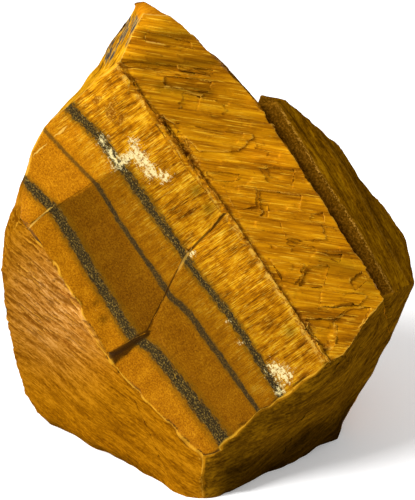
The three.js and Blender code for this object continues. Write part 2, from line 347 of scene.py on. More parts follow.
# Fibres cross the layers, and the layers run down to the right across the banded face.
LAYERS = grain((0.581, -0.814), BANDED_RISE)
BANDED_FIBRES = grain((0.82, 0.57), BANDED_RISE)
SPLINTERS = grain((0.990, -0.139), FIBROUS_RISE)
LEFT_GRAIN = grain((0.788, -0.616), (0.955, 0.62))
UNDER_GRAIN = grain((0.80, 0.60), (-1.28, 1.38))
SLAB_GRAIN = grain((0.525, -0.851), (-1.0, -0.62))
PEAK_GRAIN = grain((0.56, 0.83), (1.5, -1.04))

# These turn a place into a number that looks like a random one.
SCATTER = np.array([12.99, 78.23, 37.72])
SCATTER_SCALE = 4375.85


def noise_at(places, sizes, seed):
    """Smooth noise from about -1 to 1 over places, with a feature size for each axis or one
    for all."""
    scaled = places / np.array(sizes) + seed
    return np.array([noise.noise(place) for place in scaled.tolist()])


def noises(points, axes, *parts):
    """The sum of several noises along a grain: depth, feature sizes and seed of each."""
    places = points @ axes.T
    return sum(depth * noise_at(places, sizes, seed) for depth, sizes, seed in parts)


def plates_at(places, sizes, seed):
    """Splits the grain into splinter plates. Gives each point its plate's own random height
    from 0 to 1, and how far across the grain it lies from the plate's middle."""
    scaled = places / np.array(sizes) + seed
    nearest = np.array([
        noise.voronoi(place, distance_metric="CHEBYCHEV")[1][0] for place in scaled.tolist()
    ])
    height = np.modf(np.abs(np.sin(nearest @ SCATTER) * SCATTER_SCALE))[0]
    return height, scaled[:, 1] - nearest[:, 1]


# ---- relief ----

# Lines that the materials draw, by the names that they ask for. Some have a relief as well.
LINES = {
    "ridge": [(-14.2, 72.6), (-6.7, 62.8), (4.0, 48.2), (13.3, 34.4), (20.5, 23.2)],
    "crack": [(-9.7, 28.5), (-8.1, 31.7), (-6.7, 34.4), (-5.5, 37.0), (-4.2, 39.6), (-3.0, 41.5)],
    "slot": [(-2.6, 41.8), (-0.8, 43.7), (1.2, 45.6), (3.4, 48.2)],  # across the silky strip, drawn dark as painted shade
    "cliff_shadow": [(-16.2, 24.0), (-9.8, 28.0)],  # the foot of the small cliff below the crack, drawn dark as a painted shadow
    "glint": [(-4.3, 38.9), (-3.5, 40.4), (-2.7, 41.6)],  # a painted highlight on an edge beside the crack
    "ledge_glint": [(-29.4, 46.0), (-28.4, 47.0), (-26.1, 49.0)],  # a painted highlight on an edge near the left end
    "chip_glint": [(-28.4, 58.3), (-27.9, 58.9), (-27.4, 59.3)],  # a painted highlight on an edge higher up
    "fibre_glint": [(-24.5, 61.6), (-23.9, 62.1)],  # a painted highlight on a fibre beside the upper left edge
    "crest": [  # of the slab, which is granular inside it and has a painted highlight along it
        (12.7, 66.1), (16.1, 60.6), (19.5, 55.0), (22.5, 50.5),
        (25.7, 45.7), (28.8, 40.3), (32.0, 34.7),
    ],
    "slab_step": [  # along the middle of the slab, with a painted highlight along it
        (19.2, 62.5), (22.2, 58.5), (25.2, 54.0), (28.7, 47.7), (32.0, 41.5), (34.6, 37.0),
    ],
}

# The parts of the ridge that are worn into a groove.
RIDGE_GROOVE = [
    [(-7.2, 63.6), (-4.6, 60.4), (-2.4, 57.6), (0.4, 53.6)],
    [(15.2, 31.8), (18.4, 26.9), (20.8, 23.6)],
]


def banded_relief(points):
    """Nearly flat and finely granular, with fibres showing beside the ridge."""
    fibrous = fade(layer_number(points), 1.9, 2.3)
    relief = noises(
        points, BANDED_FIBRES,
        (0.10, 7, 3.1),
        (0.035, (1.2, 1.0, 1.0), 9.4),
        (0.03 + 0.07 * fibrous, (4.5, 0.55, 1.0), 5.2),
        (0.05 * fibrous, (2.0, 0.3, 1.0), 7.7),
    )
    relief -= 0.30 * near_line(points, LINES["slot"], 0.7)
    return relief - 0.15 * near_line(points, LINES["crack"], 0.5)


def fibrous_relief(points):
    """Splinters stacked in plates, with broken ends and a groove along the ridge."""
    places = points @ SPLINTERS.T
    bent = places + np.stack([
        0.9 * noise_at(places, (9, 0.6, 3), 2.7) + 0.4 * noise_at(places, (5, 0.3, 2), 5.9),
        0.8 * noise_at(places, (14, 5, 5), 1.7),
        np.zeros(len(places)),
    ], axis=1)
    broad, broad_tilt = plates_at(bent, (9.0, 2.1, 4.0), 4.4)
    narrow, narrow_tilt = plates_at(bent, (5.0, 0.75, 3.0), 8.1)
    relief = 0.34 * (broad - 0.5) + 0.16 * broad_tilt
    relief += 0.16 * (narrow - 0.5) + 0.06 * narrow_tilt
    relief += 0.05 * noise_at(bent, (5.0, 0.35, 1.0), 6.3)
    groove = 0.5 * near_line(points, LINES["ridge"], 1.4)
    groove += sum(near_line(points, line, 1.0) for line in RIDGE_GROOVE)
    rubble = noise_at(places, (0.8, 0.45, 0.8), 3.3)
    return relief + groove * (0.35 * rubble - 0.3)


def left_front(points):
    """1 on the flat of the left break, and 0 where the stone turns from it to the back."""
    return fade(points @ LEFT_GRAIN[2], -2.5, -0.8)


def pits(points):
    """1 in the long pits of the left break. They are fewer and shallower lower down."""
    places = points @ LEFT_GRAIN.T
    upper = fade(points[:, 1], 16, 34)
    short = (0.3 + 0.7 * upper) * fade(noise_at(places, (2.2, 0.45, 1.0), 6.1), 0.12, 0.32)
    long = upper * fade(noise_at(places, (5.0, 0.8, 1.5), 8.6), 0.16, 0.36)
    return left_front(points) * np.maximum(short, long)


def left_relief(points):
    """Woody and pitted."""
    relief = noises(
        points, LEFT_GRAIN,
        (0.30, (9, 5, 5), 1.1),
        (0.12, (11, 1.3, 2.0), 2.9),
        (0.06, (2.4, 0.4, 0.8), 4.7),
    )
    return relief - 0.30 * pits(points)


def under_relief(points):
    """Coarse and hackly, with a fine grain."""
    return noises(
        points, UNDER_GRAIN,
        (0.30, (8, 5, 5), 1.9),
        (0.22, (9, 1.2, 2.0), 5.5),
        (0.08, (3.0, 0.45, 1.0), 8.8),
    )


def slab_relief(points):
    """Steps that run along the crest, and granular stone on the shelf inside it."""
    places = points @ SLAB_GRAIN.T
    steps = noise_at(places, (16, 2.4, 3.0), 2.4)
    relief = 0.25 * fade(steps, -0.05, 0.02) + 0.10 * noise_at(places, (10, 1.0, 2.0), 6.6)
    relief -= 0.35 * fade(side_of(points, LINES["slab_step"]), -0.2, 0.2)
    return relief + 0.08 * noise_at(places, (1.0, 0.8, 0.8), 3.8)


def peak_relief(points):
    """Finely splintered."""
    return noises(points, PEAK_GRAIN, (0.22, (9, 1.1, 2.0), 7.2), (0.08, (3.0, 0.5, 1.0), 1.6))


def back_relief(points):
    """Hackly, with the fibres across the layers just showing."""
    return noises(points, BANDED_FIBRES, (0.6, (9, 6, 6), 2.0), (0.3, (7, 1.6, 2.4), 6.0))


RELIEFS = {
    BANDED: banded_relief,
    FIBROUS: fibrous_relief,
    LEFT: left_relief,
    UNDER: under_relief,
    SLAB: slab_relief,
    PEAK: peak_relief,
    BACK: back_relief,
}

SOME = 0.01  # shares below this are left out


def region_shares(points, facets, region, passes):
    """How much each point belongs to each region, blurred over their borders."""
    shares = np.stack([facet_sums(region == kind, facets, len(points)) for kind in REGIONS], axis=1)
    shares /= shares.sum(1)[:, None]
    edges = edges_of(facets)
    for _ in range(passes):
        shares = (shares + around(shares, edges)) / 2
    return shares


# The sharp edges between breaks, which are chipped, and the blunter ones of the peak.
CHIPPED = ((BANDED, LEFT), (BANDED, UNDER), (FIBROUS, UNDER), (LEFT, UNDER))
BLUNT = ((FIBROUS, PEAK), (BANDED, PEAK))
CHIP_PASSES = 8  # how widely the chipped edges are blurred


def on_edges(points, facets, region, pairs, passes):
    """1 on the edges between pairs of regions, falling to 0 away from them."""
    shares = region_shares(points, facets, region, passes)
    return np.minimum(4 * sum(shares[:, one] * shares[:, two] for one, two in pairs), 1)


def bites(points):
    """How deep the chips of the edges are."""
    return 0.5 * fade(noise_at(points, 2.4, 5.7), -0.25, 0.45)


def splinter_shift(points):
    """How far the fibrous face shifts along its fibres and across them, fibre by fibre."""
    places = points @ SPLINTERS.T
    along = 0.65 * noise_at(places, (9, 0.75, 3), 2.7) + 0.35 * noise_at(places, (5, 0.42, 2), 5.9)
    return along, 0.22 * noise_at(places, 2.6, 8.3)


def band_shift(points):
    """How far the banded face shifts along its layers and across them."""
    return 0.18 * noise_at(points, 2, 1.4), 0.18 * noise_at(points, 2, 7.6)


def fray(points, facets, region):
    """Moves the front faces within themselves, so that their steps run unevenly and end in
    splinters, and makes the chipped edges jagged."""
    moved = points.copy()
    shares = region_shares(points, facets, region, passes=16)
    for kind, axes, shift in ((FIBROUS, SPLINTERS, splinter_shift), (BANDED, LAYERS, band_shift)):
        inner = fade(shares[:, kind], 0.7, 1.0)
        part = inner > SOME
        along, across = shift(points[part])
        moved[part] += inner[part, None] * (along[:, None] * axes[0] + across[:, None] * axes[1])
    edge = on_edges(points, facets, region, CHIPPED, CHIP_PASSES)
    part = edge > SOME
    jagged = [noise_at(points[part], 2.8, seed) for seed in (2.2, 6.4, 9.1)]
    moved[part] += 0.8 * edge[part, None] * np.stack(jagged, axis=1)
    return moved


FOOT_HEIGHT = 6  # the foot is worn up to this height above the floor
CORNER_OUT = 0.6  # how far out the front corner's foot moves


def wear_foot(points):
    """Moves the stone's foot in and out, so that its outline on the floor isn't straight.
    The front corner's foot only moves out a little."""
    places = from_front(points) / MM
    part = places[:, 2] < FOOT_HEIGHT
    outward = unit(places[part] * (1, 1, 0), least=1.0)
    drawn = 0.15 + 0.9 * noise_at(points[part], 6, 3.5) + 0.4 * noise_at(points[part], 2.5, 6.5)
    at_corner = (1 - fade(np.abs(points[part, 0] + 2), 3, 6)) * (places[part, 1] < 0)
    drawn = drawn * (1 - at_corner) - CORNER_OUT * at_corner
    drawn *= 1 - fade(places[part, 2], 0, FOOT_HEIGHT)
    moved = points.copy()
    moved[part] -= drawn[:, None] * (outward @ FRONT_AXES)
    return moved


BASE_FADE = 1.5  # the relief has faded out from this height above the floor down to it


def add_relief(points, facets, region):
    """Gives each break its relief and chips its edges. The base stays flat on the floor."""
    shares = region_shares(points, facets, region, passes=2)
    relief = np.zeros(len(points))
    for kind, relief_of in RELIEFS.items():
        part = shares[:, kind] > SOME
        relief[part] += shares[part, kind] * relief_of(points[part])
    relief -= on_edges(points, facets, region, CHIPPED, CHIP_PASSES) * bites(points)
    height = floor_height(points)
    relief *= fade(height, 0, BASE_FADE)
    points = points + relief[:, None] * point_normals(points, facets)
    softer = 0.75 * points + 0.25 * around(points, edges_of(facets))
    return np.where(height[:, None] > SOME, softer, points)


# ---- the layers ----

# The middle lines and widths of the three dark bands: across, up, and width.
BANDS = [[
    (-30.6, 53.8, 1.7), (-25.3, 48.7, 2.0), (-21.4, 42.0, 2.1), (-17.4, 35.2, 2.0),
    (-12.1, 27.2, 2.1), (-8.8, 25.2, 2.2), (-3.4, 18.5, 2.5), (2.9, 10.4, 2.6),
    (3.7, 9.0, 2.5),
], [
    (-27.3, 62.4, 0.7), (-21.0, 55.8, 0.6), (-18.1, 52.9, 0.8), (-14.8, 47.0, 0.9),
    (-10.1, 40.3, 0.9), (-5.6, 34.0, 1.3), (-2.8, 31.6, 1.3), (4.2, 21.8, 1.1),
    (9.2, 14.7, 0.9),
], [
    (-22.5, 65.6, 1.9), (-17.7, 61.0, 1.6), (-13.9, 55.7, 1.6), (-8.9, 48.5, 1.7),
    (-1.8, 38.5, 1.3), (4.0, 31.3, 1.3), (7.2, 26.4, 1.4), (12.4, 18.1, 1.4),
]]


BEYOND_LAST = 9  # how wide the layer beyond the third band is


def from_band(points, band):
    """How far across the layers points lie from a band's middle, and half its width there."""
    middle = np.array([
        (across, up, out_on_break(across, up, BANDED_RISE)) for across, up, _ in band
    ]) @ LAYERS.T
    along, across, _ = (points @ LAYERS.T).T
    away = across - np.interp(along, middle[:, 0], middle[:, 1])
    return away, np.interp(along, middle[:, 0], [width / 2 for _, _, width in band])


def layer_number(points):
    """0, 1 and 2 in the middle of the three bands, and in proportion between and beyond."""
    one, two, three = (from_band(points, band)[0] for band in BANDS)
    lower = one / (one - two)
    upper = 1 + two / (two - three)
    return np.where(three > 0, 2 + three / BEYOND_LAST, np.where(two < 0, lower, upper))


# ---- markings, tones and painted light ----

# Slate bands beside the upper left edge, on the break under the peak.
PEAK_SLATE = [
    [(-11.3, 80.9), (-12.0, 79.0), (-13.2, 76.8)],
    [(-12.9, 81.6), (-15.2, 77.4), (-16.5, 74.0)],
]

# The banded face is parted by a crease across its upper half and by a crack lower down.
CREASE = [(-34.0, 46.4), (-29.4, 46.9), (-26.1, 49.0), (-21.0, 51.7), (-14.6, 56.0), (-12.6, 58.0)]
PARTING = [
    (-20.0, 20.0), (-16.3, 24.4), (-9.7, 28.5), (-6.7, 34.4),
    (-3.0, 41.5), (0.0, 44.0), (4.0, 48.2),
]

# The painted sheen and painted shade of the banded face's silk over its layers, above the crease,
# between the crease and the crack, and below the crack: layer number and brightness.
SILK_ABOVE = [(-1.0, 0.95), (0.5, 0.98), (1.5, 1.06), (2.3, 1.12), (3.0, 1.12)]
SILK_BETWEEN = [
    (-1.0, 0.80), (-0.2, 0.86), (0.15, 0.34), (0.80, 0.40),
    (1.15, 0.62), (1.70, 0.66), (2.30, 0.88), (3.0, 0.95),
]
SILK_BELOW = [
    (-1.0, 0.86), (-0.2, 0.84), (0.20, 0.50), (0.80, 0.52),
    (1.20, 0.60), (1.80, 0.68), (2.30, 0.90), (3.0, 0.94),
]

# Where painted light lies: a painted sheen on the brightest parts of the silky strip, painted
# highlights on the left break, and a painted highlight beside the upper left edge of the front.
SILK_SHEEN_LINE = [(0.0, 43.0), (8.0, 36.0)]
LEFT_HIGHLIGHT = [(-22.0, 30.0), (-17.5, 22.0)]
UPPER_LEFT_HIGHLIGHT = [(-22.7, 60.5), (-16.2, 70.4), (-13.9, 72.7), (-11.7, 78.1), (-10.0, 81.5)]

# Patches on the front: across, up, and radius of each. The spots are small and dark, the
# cream ones are quartz, the crumbled ones are brown and granular, and the middle of the left
# break is pinkish.
SPOTS = [
    (-18.4, 33.2, 0.5), (-17.1, 30.4, 0.8), (-1.5, 51.9, 1.1), (0.6, 48.9, 1.1), (14.2, 28.4, 1.0),
]
CREAM = [
    (-17.2, 60.4, 1.2), (-16.0, 58.4, 0.9), (-14.9, 56.6, 1.5), (-13.2, 57.6, 1.0),
    (-11.9, 60.1, 1.1), (-11.4, 58.0, 1.4), (-10.2, 56.6, 1.1), (-9.0, 54.9, 1.5),
    (-6.6, 54.2, 1.2), (11.5, 22.3, 1.4), (13.4, 20.9, 1.8), (12.5, 18.3, 0.9),
    (-2.0, 41.3, 0.8), (3.9, 30.0, 0.6), (5.9, 26.6, 0.6),
]
CRUMBLED = [
    (-18.0, 67.1, 0.8), (-15.7, 66.2, 0.9), (-16.1, 64.6, 1.0), (-14.2, 63.7, 1.0),
    (-7.4, 64.0, 1.0), (-3.4, 58.9, 1.4), (-1.8, 56.4, 1.4), (17.0, 29.0, 1.4),
    (19.6, 25.8, 1.4),
]
PINK = [(-24.5, 33.0, 8.5)]

# The painted shade of the break under the front over its height above the floor: height and
# brightness.
UNDER_SHADE = [(0.0, 0.22), (5.0, 0.26), (8.5, 0.58), (12.0, 0.84), (15.0, 0.64), (20.0, 0.84)]

# How bright the fibrous face is over its height. Its streaks are darker by a share, or
# lighter where the share is below 0: share, width and line.
FIBROUS_TONE = [
    (26, 0.98), (33, 1.04), (44, 1.12), (54, 1.11), (58, 1.08),
    (64, 0.96), (70, 0.94), (76, 0.90), (81, 0.97),
]
STREAKS = [
    (0.50, 1.5, [(-10.4, 78.3), (-6.0, 78.1), (-2.5, 78.2)]),
    (0.50, 1.5, [(-13.6, 73.6), (-5.0, 73.3), (1.7, 73.7)]),
    (0.50, 1.5, [(-7.5, 69.4), (0.5, 68.6)]),
    (0.42, 3.0, [(20.5, 40.2), (24.5, 38.8), (28.2, 36.2)]),
    (-0.30, 2.0, [(-7.5, 71.6), (-4.0, 71.4)]),
    (-0.50, 3.2, [(8.5, 58.5), (12.5, 57.0)]),
    (-0.45, 3.0, [(8.5, 67.5), (13.0, 66.0)]),
]


def silk_sheen(points, facets):
    """The brightness of the banded face at each point: its painted sheen and painted shade."""
    layer = layer_number(points)
    above, between, below = (
        np.interp(layer, *zip(*knots)) for knots in (SILK_ABOVE, SILK_BETWEEN, SILK_BELOW)
    )
    # A painted highlight beside the upper left edge.
    above = above * (1 + 0.15 * near_line(points, UPPER_LEFT_HIGHLIGHT, 3.0))
    over_crease = fade(side_of(points, CREASE), -0.25, 0.15) * (points[:, 0] < -5)
    over_crease = np.maximum(over_crease, fade(points[:, 1], 56, 60))
    over_parting = fade(side_of(points, PARTING), -0.15, 0.15)
    upper = over_crease * above + (1 - over_crease) * between
    tone = over_parting * upper + (1 - over_parting) * below
    # A painted sheen on the brightest parts of the silky strip.
    glow = 1 + 0.22 * near_line(points, SILK_SHEEN_LINE, 4.5)
    # Painted shade where the surface looks down.
    looking_down = fade(-point_normals(points, facets)[:, 1], 0.30, 0.60)
    return tone * glow * (1 - 0.60 * near_places(points, SPOTS)) * (1 - 0.78 * looking_down)


def under_shade_and_corner_light(points):
    """Painted shade on the break under the front, darker towards the floor, and painted light by the
    corner.
    """
    height = floor_height(points) + noise_at(points, 5, 4.1)
    by_corner = 1 - fade(points[:, 0], 0.5, 4.5)
    return np.interp(height, *zip(*UNDER_SHADE)) + 0.7 * by_corner


def left_shade_and_highlight(points):
    """Painted highlights along the banded face, and painted shade where the left break's foot turns
    under.
    """
    low = 1 - fade(floor_height(points) + 1.5 * noise_at(points, 4, 2.3), 0.3, 2.6)
    low *= 1 - fade(points[:, 0], -14, -6)
    bright = 0.12 * near_line(points, LEFT_EDGE, 3.0) + 0.22 * near_line(points, LEFT_HIGHLIGHT, 6.0)
    return (1 - 0.45 * low) * (1 + bright)


def fibrous_tone_and_highlight(points):
    """The fibrous face has streaks, and a painted highlight beside the upper left edge."""
    tone = np.interp(points[:, 1], *zip(*FIBROUS_TONE))
    for share, width, line in STREAKS:
        tone *= 1 - share * near_line(points, line, width)
    return tone * (1 + 0.7 * near_line(points, UPPER_LEFT_HIGHLIGHT, 4.0))


def edge_sharpness(points, facets):
    """How sharply the surface turns at each point: above 0 on ridges, below 0 in creases."""
    edges = edges_of(facets)
    length = np.linalg.norm(points[edges[:, 0]] - points[edges[:, 1]], axis=1)
    count = np.bincount(edges[:, 0], minlength=len(points))
    mean = np.bincount(edges[:, 0], weights=length, minlength=len(points)) / count
    turn = ((points - around(points, edges)) * point_normals(points, facets)).sum(1) / mean
    return (turn + around(turn, edges)) / 2


# ---- materials ----

LIT = 1.45  # how much brighter than its own colour the front looks under the studio light


def srgb(red, green, blue):
    """The shader colour of what looks like these display values, 0 to 255, when it is lit."""
    shares = [value / 255 for value in (red, green, blue)]
    linear = [s / 12.92 if s < 0.0405 else ((s + 0.055) / 1.055) ** 2.4 for s in shares]
    return (*[value / LIT for value in linear], 1)


class Paint:
    """One node material, whose colour is built up layer by layer."""

    def __init__(self, name, roughness, silk_sheen, gloss=0.0):
        self.material = bpy.data.materials.new(name)
        self.material.use_nodes = True
        self.tree = self.material.node_tree
        self.shader = self.tree.nodes["Principled BSDF"]
        self.feed(self.shader, {
            "Roughness": roughness,
            "Metallic": silk_sheen,
            "Specular IOR Level": gloss,
            "Specular Tint": (1.0, 0.52, 0.10, 1),
        })
        self.place = self.node("ShaderNodeTexCoord").outputs["Object"]

    def feed(self, node, inputs):
        """Sets a node's inputs, given by name or number. A text stands for the attribute of
        that name, and an output is linked."""
        for key, value in inputs.items():
            if isinstance(value, str):
                value = self.node("ShaderNodeAttribute", attribute_name=value).outputs["Fac"]
            if isinstance(value, bpy.types.NodeSocket):
                self.tree.links.new(value, node.inputs[key])
            else:
                node.inputs[key].default_value = value

    def node(self, kind, inputs=(), **settings):
        """A new node. Its inputs are a list from the first on, or given by name or number."""
        node = self.tree.nodes.new(kind)
        for name, value in settings.items():
            setattr(node, name, value)
        self.feed(node, inputs if isinstance(inputs, dict) else dict(enumerate(inputs)))
        return node

    def math(self, operation, *values):
        return self.node("ShaderNodeMath", values, operation=operation).outputs[0]

    def times(self, value, factor, offset=0.0):
        """The value times a factor, and an offset."""
        return self.math("MULTIPLY_ADD", value, factor, offset)

    def total(self, *parts, offset=0.0):
        """The sum of several values, each with its weight, and an offset."""
        for value, weight in parts:
            offset = self.times(value, weight, offset)
        return offset

    def fade(self, value, low, high):
        """0 where value is below low, 1 above high, and smooth between."""
        inputs = {"Value": value, "From Min": low, "From Max": high}
        node = self.node("ShaderNodeMapRange", inputs, interpolation_type="SMOOTHSTEP")
        return node.outputs["Result"]

    def line(self, name, width):
        """1 on a line and 0 beyond width millimetres from it, faded out past its ends."""
        away = self.math("ABSOLUTE", name)
        on_line = self.times(self.fade(away, width * 0.4, width), -1, 1)
        return self.times(on_line, self.fade(name + "_near", 0.3, 0.7))

    def mix(self, share, one, two, kind="MIX"):
        inputs = {0: share, 6: one, 7: two}
        node = self.node("ShaderNodeMix", inputs, data_type="RGBA", blend_type=kind)
        return node.outputs[2]

    def lay(self, where, tint, share=1.0):
        """Lays a tint over the colour, at most by a share, where there is to be one. The tint
        is a display colour or comes from another node."""
        if isinstance(tint, tuple):
            tint = srgb(*tint)
        self.colour = self.mix(self.times(where, share), self.colour, tint)

    def brighten(self, factor):
        """Multiplies the colour by a factor that varies over the surface."""
        grey = self.node("ShaderNodeCombineColor", (factor, factor, factor)).outputs[0]
        self.colour = self.mix(1.0, self.colour, grey, "MULTIPLY")

    def ramp(self, value, *stops):
        """A colour for each value from 0 to 1. Each stop is a value and a display colour."""
        node = self.node("ShaderNodeValToRGB", (value,))
        elements = node.color_ramp.elements
        elements[1].position = stops[-1][0]
        elements[0].position = stops[0][0]
        for position, *_ in stops[1:-1]:
            elements.new(position)
        for element, (_, *colour) in zip(elements, stops):
            element.color = srgb(*colour)
        return node.outputs["Color"]

    def along_grain(self, axes, sizes):
        """Coordinates along, across and out of a grain, in feature sizes."""
        parts = []
        for axis, size in zip(axes, sizes):
            direction = (FRONT_AXES @ axis / (size * MM)).tolist()
            node = self.node("ShaderNodeVectorMath", (self.place, direction), operation="DOT_PRODUCT")
            parts.append(node.outputs["Value"])
        return self.node("ShaderNodeCombineXYZ", parts).outputs[0]

    def noise(self, axes, sizes, detail=3, roughness=0.7):
        """Smooth noise from 0 to 1, stretched along a grain."""
        return self.node("ShaderNodeTexNoise", {
            "Vector": self.along_grain(axes, sizes),
            "Scale": 1,
            "Detail": detail,
            "Roughness": roughness,
        }).outputs["Fac"]

    def streaks(self, axes, *parts):
        """The sum of noises along a grain: weight, sizes, detail and roughness of each."""
        return self.total(*((self.noise(axes, *rest), weight) for weight, *rest in parts))

    def finish(self, height, depth=0.15):
        """Gives the surface its colour, and fine relief of a depth in millimetres."""
        bump = self.node("ShaderNodeBump", {"Distance": depth * MM, "Height": height})
        self.feed(self.shader, {"Base Color": self.colour, "Normal": bump.outputs[0]})
        return self.material


EDGE_LIGHT_SPAN = 0.21  # painted highlight and shade show fully on edges this much sharper than where they start


def paint_edge_light_and_shade(paint, light, dark, lighter, darker, start=0.07):
    """Paints highlights on ridges and shade in creases that are sharper than start, each by at
    most a share, and paints highlights on the chipped edges."""
    ridge = paint.fade("sharpness", start, start + EDGE_LIGHT_SPAN)
    chipped = paint.fade("chipped", 0.20, 0.80)
    bright = paint.math("MAXIMUM", paint.times(ridge, lighter), paint.times(chipped, 0.6))
    paint.lay(bright, light)
    deep = paint.fade(paint.times("sharpness", -1), start, start + EDGE_LIGHT_SPAN)
    paint.lay(paint.times(deep, paint.times(chipped, -0.8, 1)), dark, darker)


def lay_bands(paint, share=1.0):
    """Lays the dark bands. Their edges are ragged, and gold grains lie in them."""
    ragged = paint.noise(LAYERS, (1.2, 0.45, 0.7), 4)
    grains = paint.noise(LAYERS, (0.30, 0.21, 0.26))
    slate = paint.ramp(
        grains, (0.36, 34, 30, 20), (0.49, 56, 46, 26), (0.57, 90, 71, 32), (0.67, 170, 138, 62),
    )
    thin = paint.ramp(grains, (0.38, 48, 40, 26), (0.56, 78, 58, 24), (0.74, 140, 104, 40))
    thin_share = paint.times("band_2_share", share)
    for name, tint, olive, rough, cover in (
        ("band_1", slate, 0.6, 1.8, share),
        ("band_2", thin, 0.5, 1.8, thin_share),
        ("band_3", slate, 0.75, 2.8, share),
    ):
        away = paint.math("ABSOLUTE", name)
        raised = paint.total((away, -1), (ragged, rough), offset=1 - 0.5 * rough)
        paint.lay(paint.fade(raised, -1.1, 0.2), (112, 78, 8), olive * share)
        paint.lay(paint.fade(raised, -0.10, 0.40), tint, cover)


def lay_crumbs(paint):
    """Lays the brown crumbled patches."""
    crumbs = paint.noise(LAYERS, (0.35, 0.30, 0.35))
    brown = paint.ramp(crumbs, (0.38, 104, 52, 4), (0.52, 160, 94, 10), (0.66, 232, 178, 64))
    ragged = paint.noise(LAYERS, (1.2, 0.8, 1.0), 4)
    patch = paint.total(("crumbled", 1), (ragged, 2.6), offset=-1.6)
    paint.lay(paint.fade(patch, 0.0, 0.5), brown, 0.75)


def lay_cream(paint):
    """Lays the cream patches of quartz, with ragged edges."""
    ragged = paint.noise(LAYERS, (0.75, 0.50, 0.6), 5, 0.85)
    patch = paint.fade(paint.total(("cream", 0.9), (ragged, 4.2), offset=-2.65), 0.05, 0.45)
    paint.lay(paint.times(patch, paint.fade("cream", 0.02, 0.10)), (252, 232, 164))


def silken_colour(paint, thread):
    """The bright fibres of the silky strip, with dark splits between them."""
    bars = paint.noise(BANDED_FIBRES, (5.5, 0.9, 1.5), 3, 0.6)
    cross = paint.noise(LAYERS, (4.0, 1.6, 2.0), 4, 0.65)
    splits = paint.noise(BANDED_FIBRES, (5.0, 0.28, 1.2), 2, 0.5)
    fibres = paint.ramp(
        paint.total((thread, 0.46), (bars, 0.32), (cross, 0.22)),
        (0.39, 96, 52, 2), (0.46, 158, 94, 3), (0.52, 202, 130, 6),
        (0.58, 236, 176, 24), (0.66, 255, 220, 96),
    )
    return paint.mix(paint.times(paint.fade(splits, 0.60, 0.72), 0.55), fibres, srgb(96, 54, 4))


def banded_material():
    paint = Paint("banded_break", 0.55, 0.1, gloss=0.08)
    fine = paint.noise(LAYERS, (0.28, 0.24, 0.28), 3, 0.75)
    broad = paint.noise(BANDED_FIBRES, (4.0, 2.2, 3.0), 2, 0.5)
    thread = paint.noise(BANDED_FIBRES, (2.2, 0.14, 0.5))
    paint.colour = paint.ramp(
        paint.total((fine, 0.8), (broad, 0.2)),
        (0.34, 142, 80, 4), (0.50, 190, 116, 6), (0.66, 232, 156, 20),
    )
    half_silken = paint.times(paint.fade("layer", 1.0, 1.3), 0.45)
    fibrous = paint.math("MAXIMUM", paint.fade("layer", 1.98, 2.15), half_silken)
    paint.lay(fibrous, silken_colour(paint, thread))
    # Painted highlights on short fibre dashes in the silky strip.
    fibre_glints = paint.fade(paint.noise(BANDED_FIBRES, (1.5, 0.18, 0.5), 2, 0.5), 0.58, 0.68)
    paint.lay(paint.times(fibre_glints, paint.fade("layer", 1.2, 1.6)), (252, 202, 66), 0.5)
    # The painted sheen and painted shade of the banded face.
    paint.brighten("silk_sheen")
    lay_crumbs(paint)
    # A painted highlight on the banded side of the ridge.
    lumps = paint.fade(paint.noise(LAYERS, (1.2, 0.9, 1.0)), 0.44, 0.58)
    paint.lay(paint.times(paint.line("ridge", 1.5), lumps), (246, 194, 76), 0.55)
    lay_bands(paint)
    lay_cream(paint)
    # Painted highlights on ridges and chipped edges, and painted shade in creases.
    paint_edge_light_and_shade(paint, (255, 190, 48), (90, 52, 6), 0.5, 0.5, start=0.15)
    # Painted shade in the crack and the slot, and a painted shadow at the foot of the cliff.
    for name, width in (("crack", 0.20), ("slot", 0.32), ("cliff_shadow", 0.85)):
        paint.lay(paint.line(name, width), (58, 32, 4), 0.85)
    # Painted highlights on edges and on a fibre.
    for name, width, share in (
        ("glint", 0.30, 0.3), ("ledge_glint", 0.20, 0.6), ("chip_glint", 0.18, 0.8), ("fibre_glint", 0.30, 0.7),
    ):
        paint.lay(paint.line(name, width), (250, 200, 86), share)
    return paint.finish(paint.total((fine, 0.4), (thread, 0.8)), 0.12)


def fibrous_material():
    paint = Paint("fibrous_break", 0.50, 0.15, gloss=0.08)
    thread = paint.noise(SPLINTERS, (6.0, 0.16, 0.4), 3, 0.65)
    strand = paint.noise(SPLINTERS, (11.0, 0.75, 1.5), 3, 0.55)
    broad = paint.noise(SPLINTERS, (12.0, 3.0, 4.0), 2, 0.5)
    paint.colour = paint.ramp(
        paint.total((thread, 0.26), (strand, 0.40), (broad, 0.34)),
        (0.36, 120, 68, 2), (0.45, 168, 102, 4), (0.53, 206, 134, 6), (0.63, 240, 170, 16),
    )
    # Painted highlights: glints along the splinters.
    glints = paint.noise(SPLINTERS, (5.0, 0.20, 0.5), 2, 0.6)
    paint.lay(paint.fade(glints, 0.58, 0.70), (250, 190, 44), 0.85)
    # Streaks, and a painted highlight beside the upper left edge.
    paint.brighten("fibrous_tone_and_highlight")
    lay_crumbs(paint)
    # A painted shadow on the fibrous side of the ridge.
    lumps = paint.fade(paint.noise(LAYERS, (1.5, 0.9, 1.0)), 0.42, 0.54)
    paint.lay(paint.times(paint.line("ridge", 0.8), lumps), (112, 62, 4), 0.65)
    # Painted highlights on ridges and chipped edges, and painted shade in creases.
    paint_edge_light_and_shade(paint, (250, 194, 66), (110, 60, 4), 0.45, 0.2, start=0.10)
    return paint.finish(thread, 0.09)


